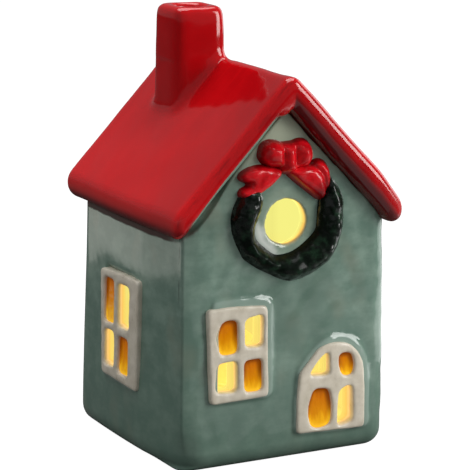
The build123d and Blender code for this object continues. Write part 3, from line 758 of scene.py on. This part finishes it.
red_thin_and_painted_light = colour(218, 15, 21)
red_deep = colour(184, 5, 13)
red_streak_and_painted_shade = colour(128, 3, 9)
red_shaded = colour(88, 2, 6)
roof_finish, spot = new_finish("roof_glaze")
down_slope = spot.node("Mapping", {"vector_type": "POINT"}, {"Vector": spot, "Rotation": (0, roof_pitch, 0)})
streaks = down_slope.stretched(8, 1, 8)
brushed = streaks.cloud(1.4, 3, 0.6)
red = spot.cloud(12, 3).rise(0.35, 0.7).tint(red_deep, red_glaze)
# Painted light: the red turns paler towards the left of the roof; thin brushed streaks turn paler too.
painted_light_to_left = (0 - spot.along("X")).rise(6, 30) * 0.6
red = spot.sum("MAXIMUM", painted_light_to_left, brushed.rise(0.5, 0.75) * 0.3).tint(red, red_thin_and_painted_light)
forward = 0 - spot.along("Y")
at_verge = forward.rise(30.5, 33)
# Painted shade: the red darkens towards the front of the roof. On the verge faces, dark brushed streaks
# follow.
red = (forward.rise(4, 30) * (1 - at_verge) * 0.28).tint(red, red_streak_and_painted_shade)
red = (at_verge * streaks.cloud(0.8, 3, 0.6).rise(0.5, 0.7) * 0.45).tint(red, red_streak_and_painted_shade)
red = (spot.kept("soffit") * 0.9).tint(red, red_shaded)
red = spot.kept("green").tint(red, green_light)
# Painted glow in place of the lamp's light on the bare inside of the roof.
attic = spot.kept("attic")
red = attic.tint(red, glow_low)
finish(
    roof_finish,
    {
        "Base Color": red,
        "Roughness": 0.06 + 0.06 * brushed + 0.5 * spot.sum("MAXIMUM", spot.kept("dull"), attic),
        "Emission Color": attic.tint((0, 0, 0, 1), glow_low),
        "Emission Strength": 0.8,
        "Normal": spot.cloud(8, 2).bumps(0.03),
    },
    roof,
)
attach(roof, "house")
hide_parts("roof", "chimney")

# Wreath: lumps of clay pressed into an open ring round the gable window while both were soft,
# its ends tucked under the bow, covered with a dark green glaze that is nearly black.
clay_root = -0.8
clay_grain = 0.3
wreath_middle = np.array([-0.2, 66.2])
wreath_proud = 4.3
wreath_roll = 4.0
wreath_rounding = 1.2
wreath_lumps = 11
wreath_outline = [
    (-13.0, 75.4), (-15.6, 70.6), (-16.4, 67.2), (-15.9, 63.6), (-14.7, 60.0), (-12.9, 56.4),
    (-8.9, 53.5), (-5.3, 51.7), (-2.5, 50.2), (0.8, 49.0), (4.7, 49.3), (8.4, 50.6),
    (12.7, 53.1), (15.2, 56.5), (16.5, 59.8), (17.3, 63.8), (17.2, 70.1), (15.6, 73.4),
    (12.0, 77.4), (10.0, 73.0), (9.3, 68.4), (9.0, 64.6), (8.9, 62.2), (7.2, 60.4),
    (4.1, 58.3), (1.7, 57.0), (-0.7, 56.6), (-3.3, 56.7), (-4.8, 57.6), (-7.7, 60.0),
    (-9.0, 61.5), (-9.2, 64.2), (-8.4, 66.2), (-7.2, 68.8), (-6.5, 71.7), (-8.0, 75.6),
]


def pillow(name, outline, proud, roll, rounding):
    """Clay puffed up inside an outline, lying flat: across, up, and off the wall."""
    edge_line = round_corners(outline, rounding)
    piece = slab(name, [edge_line], clay_root, 1.0, clay_grain, rounds=2)
    flat = points_of(piece)
    edge = edge_distance(flat[:, :2], edge_line)
    puffed = 1 - (1 - np.clip(edge / roll, 0, 1)) ** 2
    uneven = 1 + hand_waves(flat, length=6, depth=0.12, seed=len(name))
    flat[:, 2] = np.where(flat[:, 2] > 0, flat[:, 2] * puffed * proud * uneven, flat[:, 2])
    set_points(piece, flat)
    return piece


def press_on(name, lumps, nodes):
    """Work lumps of clay into one and press it onto the front wall."""
    piece = cast(name, [], lumps, clay_grain, rounds=5)
    flat = points_of(piece)
    keep_value(piece, "off_wall", flat[:, 2])
    set_points(piece, onto_front(flat))
    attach(piece, "house")
    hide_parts(*nodes)
    return piece


ring = pillow("ring", wreath_outline, wreath_proud, wreath_roll, wreath_rounding)
flat = points_of(ring)
around = np.arctan2(flat[:, 1] - wreath_middle[1], flat[:, 0] - wreath_middle[0])
crease = np.abs(np.sin(around * wreath_lumps / 2 + 0.9 * np.sin(3 * around)))
flat[:, 2] *= np.where(flat[:, 2] > 0, 0.88 + 0.12 * np.sqrt(crease), 1)
set_points(ring, flat)
wreath_ring = press_on("wreath_ring", [ring], ["wreath"])
wreath_deep = colour(14, 22, 16)
wreath_thin = colour(38, 64, 46)
wreath_finish, spot = new_finish("wreath_glaze")
leafy = spot.cloud(2.6, 4, 0.6)
crest = spot.kept("off_wall").rise(1.0, 3.0)
across = spot.along("X") - wreath_middle[0]
above = spot.along("Z") - wreath_middle[1]
from_middle = spot.sum("SQRT", across * across + above * above)
low_inside = (1 - above.rise(-6, 0)) * (1 - from_middle.rise(13.5, 15))
finish(
    wreath_finish,
    {
        "Base Color": (leafy.rise(0.45, 0.75) * crest).tint(wreath_deep, wreath_thin),
        "Roughness": 0.2 + 0.2 * leafy,
        "Specular IOR Level": 0.06,
        "Coat Weight": (1 - 0.9 * low_inside) * spot.cloud(1.6, 2).rise(0.35, 0.6),
        "Coat Roughness": 0.08,
        "Normal": spot.cloud(2.4, 3).bumps(0.1),
    },
    wreath_ring,
)

# Bow: two puffed loops, a knot and two ribbon tails, the right one with a fold, modelled in clay
# on the gable above the wreath and glazed a deep glossy red.
bow_rounding = 1.0
left_loop = [
    (-8.9, 84.0), (-7.7, 86.4), (-5.4, 87.3), (-3.0, 86.9), (-0.9, 86.0),
    (-0.6, 79.0), (-5.4, 79.6), (-7.7, 80.8), (-8.9, 82.4),
]
right_loop = [
    (0.6, 86.1), (3.3, 87.0), (5.7, 86.6), (7.3, 84.8), (7.9, 82.8), (7.6, 80.8), (6.1, 78.6), (0.8, 78.6),
]
knot = [(-2.8, 86.2), (2.4, 86.4), (3.2, 78.4), (0.4, 77.2), (-2.6, 78.0)]
left_tail = [
    (-1.4, 79.4), (-8.4, 81.0), (-11.4, 80.5), (-14.2, 79.0), (-14.6, 77.3), (-12.6, 76.2), (-11.4, 75.9),
    (-14.3, 75.0), (-14.7, 73.4), (-14.0, 72.2), (-11.3, 71.6), (-9.0, 72.2), (-7.0, 73.3), (-4.6, 74.7),
    (-1.6, 77.4),
]
right_tail = [
    (-1.0, 79.8), (5.6, 80.2), (8.6, 79.4), (10.6, 77.6), (11.4, 75.0), (11.9, 72.2),
    (10.6, 69.8), (9.0, 69.9), (5.2, 72.9), (2.0, 75.4), (-0.6, 77.6),
]
right_fold = [
    (6.6, 80.0), (8.6, 81.2), (10.9, 80.8), (12.6, 78.8),
    (13.3, 75.6), (12.8, 72.6), (10.6, 72.0), (9.0, 76.0),
]
bow = [
    press_on(
        "bow_left_ribbon",
        [pillow("left_ribbon", left_tail, proud=2.8, roll=2.0, rounding=bow_rounding)],
        ["bow_left_tail"],
    ),
    press_on(
        "bow_right_ribbon",
        [
            pillow("right_ribbon", right_tail, proud=3.2, roll=2.4, rounding=bow_rounding),
            pillow("right_fold", right_fold, proud=2.8, roll=2.6, rounding=bow_rounding),
        ],
        ["bow_right_tail"],
    ),
    press_on(
        "bow_loops",
        [
            pillow("left_loop", left_loop, proud=4.2, roll=3.8, rounding=bow_rounding),
            pillow("right_loop", right_loop, proud=4.2, roll=3.8, rounding=bow_rounding),
            pillow("tied_knot", knot, proud=3.6, roll=3.0, rounding=bow_rounding),
        ],
        ["bow_left_loop", "bow_right_loop", "bow_knot"],
    ),
]
bow_red = colour(236, 22, 34)
bow_deep = colour(196, 11, 21)
bow_painted_shade = colour(84, 4, 9)
bow_finish, spot = new_finish("bow_glaze")
pooled = spot.cloud(3, 3, 0.6)
red = pooled.rise(0.3, 0.65).tint(bow_deep, bow_red)
# Painted shade: the red darkens low down by the wall, in the creases between loops, knot and tails, and on
# the lower right end of the right ribbon.
fold = 1 - (spot.kept("off_wall") + 0.8 * (pooled - 0.5)).rise(0.4, 2.4)
right_end_painted_shade = spot.along("X").rise(5, 9.5) * (1 - spot.along("Z").rise(72, 78))
red = spot.sum("MAXIMUM", fold * 0.75, right_end_painted_shade * 0.75).tint(red, bow_painted_shade)
finish(
    bow_finish,
    {
        "Base Color": red,
        "Roughness": 0.12 + 0.12 * pooled,
        "Specular IOR Level": 0.4,
        "Normal": spot.cloud(3, 2).bumps(0.03),
    },
    *bow,
)

# Battery light: a moulded cup with a screwed battery door, pushed into the floor from below in a
# silicone band. Its board carries the lamp under a frosted dome, and a slide switch works it.
moulded_white = colour(225, 222, 212)
moulded_grey = colour(214, 211, 201)


def mould(name, light, dark, grain, roughness, depth, nodes, sockets):
    """A finish of two close tones with a fine grain, put on CAD nodes that stay as they are."""
    material, place = new_finish(name)
    patch = place.cloud(grain * 4, 2)
    finish(
        material,
        {
            "Base Color": patch.rise(0.3, 0.7).tint(dark, light),
            "Roughness": roughness + 0.15 * (patch - 0.5),
            "Normal": place.cloud(grain, 2).bumps(depth),
            **sockets,
        },
        *(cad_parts[node] for node in nodes),
    )


glowing_dome = {"Emission Color": colour(240, 204, 98), "Emission Strength": 1.0}
# The top cover carries a painted glow in place of the lamp's light falling on it.
painted_glow_on_cover = {"Emission Color": colour(226, 190, 88), "Emission Strength": 1.0}
glowing_lamp = {"Emission Color": colour(255, 226, 120), "Emission Strength": 2.0}
bright_metal = {"Metallic": 1.0}
lead_nodes = ["led_leads", "positive_contact", "negative_contact"]
screw_nodes = ["board_screws", "door_screw"]
switch_nodes = ["switch_body", "switch_slider"]
mould(
    "unit_plastic", moulded_white, moulded_grey,
    grain=0.6, roughness=0.45, depth=0.02, nodes=["unit_housing", "battery_door"], sockets={},
)
mould(
    "cover_with_painted_glow", moulded_grey, colour(176, 150, 90),
    grain=0.6, roughness=0.45, depth=0.02, nodes=["top_cover"], sockets=painted_glow_on_cover,
)
mould(
    "gasket_silicone", colour(210, 206, 198), colour(180, 176, 168),
    grain=0.5, roughness=0.6, depth=0.02, nodes=["socket_gasket"], sockets={},
)
mould(
    "diffuser_plastic", colour(190, 164, 96), colour(176, 146, 80),
    grain=0.8, roughness=0.5, depth=0.02, nodes=["diffuser_dome"], sockets=glowing_dome,
)
mould(
    "board_laminate", colour(36, 104, 62), colour(24, 82, 48),
    grain=0.4, roughness=0.35, depth=0.02, nodes=["circuit_board"], sockets={},
)
mould(
    "lamp_epoxy", colour(255, 236, 150), colour(250, 214, 90),
    grain=0.6, roughness=0.15, depth=0.01, nodes=["led"], sockets=glowing_lamp,
)
mould(
    "lead_steel", colour(206, 204, 198), colour(176, 174, 168),
    grain=0.3, roughness=0.3, depth=0.01, nodes=lead_nodes, sockets=bright_metal,
)
mould(
    "resistor_body", colour(40, 38, 36), colour(24, 23, 22),
    grain=0.2, roughness=0.4, depth=0.01, nodes=["resistor"], sockets={},
)
mould(
    "screw_steel", colour(198, 196, 190), colour(150, 148, 144),
    grain=0.25, roughness=0.32, depth=0.01, nodes=screw_nodes, sockets=bright_metal,
)
mould(
    "switch_plastic", colour(46, 46, 48), colour(30, 30, 32),
    grain=0.3, roughness=0.4, depth=0.01, nodes=switch_nodes, sockets={},
)
mould(
    "cell_steel", colour(214, 212, 208), colour(182, 180, 176),
    grain=0.5, roughness=0.25, depth=0.01, nodes=["coin_cell"], sockets=bright_metal,
)

# Table, light and camera: a table that is white to the camera and dark in the glaze, between four
# soft boxes, with two cards and a bright sheet lying on it for the glossy walls to mirror, and the
# camera as it stood for the photograph.
table_reach = 3000
lying_height = 3
light_target = Vector((0, 0, 0.055))


def lay_flat(name, corners, height):
    """A flat piece with these corners, this high over the floor, all in millimetres."""
    mesh = bpy.data.meshes.new(name)
    places = [(across * mm, along * mm, height * mm) for across, along in corners]
    mesh.from_pydata(places, [], [tuple(range(len(corners)))])
    return new_piece(name, mesh)


table_corners = [(-1, -1), (1, -1), (1, 1), (-1, 1)]
table = lay_flat("table", [(across * table_reach, along * table_reach) for across, along in table_corners], 0)
table_finish, spot = new_finish("table_paint")
seen = spot.node("LightPath", {}, {}, "Is Camera Ray")
finish(
    table_finish,
    {
        "Base Color": spot.cloud(60).tint((0.06, 0.06, 0.06, 1), (0.07, 0.07, 0.07, 1)),
        "Roughness": 0.7 + 0.1 * spot.cloud(30),
        "Emission Color": seen.tint((0, 0, 0, 1), (1, 1, 1, 1)),
        "Emission Strength": 1.0,
    },
    table,
)

sheet_corners = [
    (-96, 262), (-118, 203), (-131, 172), (-184, 140), (-205, 122),
    (-262, 175), (-215, 222), (-176, 250), (-166, 300), (-120, 330),
]
bright_sheet = lay_flat("bright_sheet", sheet_corners, lying_height)
sheet_finish, spot = new_finish("sheet_paint")
finish(
    sheet_finish,
    {
        "Base Color": (0.06, 0.06, 0.06, 1),
        "Emission Color": spot.cloud(40).tint((0.93, 0.93, 0.83, 1), (0.97, 0.97, 0.86, 1)),
        "Emission Strength": 1.05,
    },
    bright_sheet,
)

room = bpy.data.worlds.new("room")
bpy.context.scene.world = room
room.use_nodes = True
room_air = room.node_tree.nodes["Background"]
room_air.inputs["Color"].default_value = (0.95, 0.97, 1.0, 1)
room_air.inputs["Strength"].default_value = 0.22


def direction(azimuth, elevation):
    """The way from the house to a place at these angles in degrees."""
    turn, tilt = radians(azimuth), radians(elevation)
    return Vector((sin(turn) * cos(tilt), -cos(turn) * cos(tilt), sin(tilt)))


def soft_light(name, width, length, power):
    """A flat light of this size in metres."""
    lamp = bpy.data.lights.new(name, "AREA")
    lamp.shape = "RECTANGLE"
    lamp.size = width
    lamp.size_y = length
    lamp.energy = power
    return new_piece(name, lamp)


def hang_light(name, azimuth, elevation, distance, width, height, power):
    """A soft box turned to the house."""
    way = direction(azimuth, elevation)
    hung = soft_light(name, width, height, power)
    hung.location = light_target + way * distance
    hung.rotation_mode = "QUATERNION"
    hung.rotation_quaternion = way.to_track_quat("Z", "Y")
    return hung


def lay_card(name, across, along, width, length, power):
    """A small light lying on the table, which the glossy walls mirror as a bright stretch of it."""
    laid = soft_light(name, width, length, power)
    laid.location = (across, along, lying_height * mm)
    laid.rotation_euler = (pi, 0, 0)


key_box = hang_light("key_box", azimuth=48, elevation=18, distance=0.8, width=0.28, height=0.55, power=4.2)
key_box.data.color = (1.0, 0.99, 0.97)
hang_light("right_box", azimuth=108, elevation=14, distance=1.0, width=0.6, height=0.8, power=3.0)
left_box = hang_light("left_box", azimuth=-80, elevation=24, distance=1.1, width=1.4, height=0.6, power=2.1)
left_box.visible_glossy = False
hang_light("top_box", azimuth=160, elevation=78, distance=0.9, width=0.8, height=0.8, power=8.8)
lay_card("right_card", across=0.22, along=0.0, width=0.25, length=0.2, power=0.2)
lay_card("front_card", across=0.07, along=-0.13, width=0.16, length=0.16, power=0.03)

camera_roll = radians(0.43)
camera_distance = 642.87
camera_target = Vector((1.26, 0.0, 55.35))
back = direction(azimuth=-28.22, elevation=12.47)
level = (-back).cross(Vector((0, 0, 1))).normalized()
upright = level.cross(-back)
right = level * cos(camera_roll) + upright * sin(camera_roll)
up = upright * cos(camera_roll) - level * sin(camera_roll)
lens = bpy.data.cameras.new("camera")
lens.lens = 181.36
lens.sensor_width = 36
camera = new_piece("camera", lens)
place = Matrix((right, up, back)).transposed().to_4x4()
place.translation = (camera_target + back * camera_distance) * mm
camera.matrix_world = place
bpy.context.scene.camera = camera
bpy.context.scene.view_settings.view_transform = "Standard"
